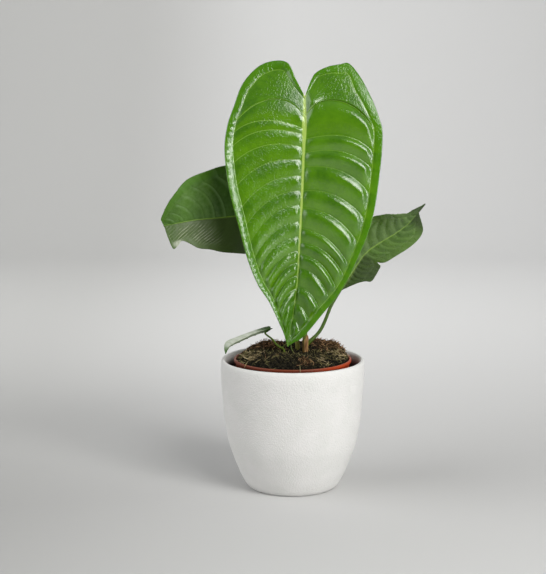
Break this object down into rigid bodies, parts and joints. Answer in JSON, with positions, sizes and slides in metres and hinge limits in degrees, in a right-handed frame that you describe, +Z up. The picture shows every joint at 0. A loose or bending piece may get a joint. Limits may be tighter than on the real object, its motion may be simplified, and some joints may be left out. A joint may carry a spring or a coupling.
{
  "type": "potted anthurium plant",
  "caption": "King anthurium with long ribbed heart-shaped leaves, rooted in mossy soil in a nursery pot that stands inside a round white cover pot.",
  "frame": {"origin": "centre of the cover pot's underside, on the ground", "axes": "+Z up along the pots' axis, -Y towards the side that the large leaf faces, +X to its right as seen from there"},
  "size_m": [0.2541, 0.14, 0.4151],
  "materials": {
    "cover_pot": "matt white with a fine pebbled grain",
    "nursery_pot": "thin terracotta-coloured plastic, slightly glossy",
    "soil": "loose dark peat with coir, moss and fine roots",
    "sheath": "dry brown bract",
    "leaf": "glossy mid green, paler veins and back",
    "dark_leaf": "glossy dark green, paler midrib and back"
  },
  "bodies": {
    "root": {"cover_pot": "cover_pot", "nursery_pot": "nursery_pot", "soil": "soil", "stalk_sheath": "sheath", "leaf_front": "leaf", "leaf_left": "dark_leaf", "leaf_right": "dark_leaf", "leaf_small": "leaf"}
  },
  "joints": []
}
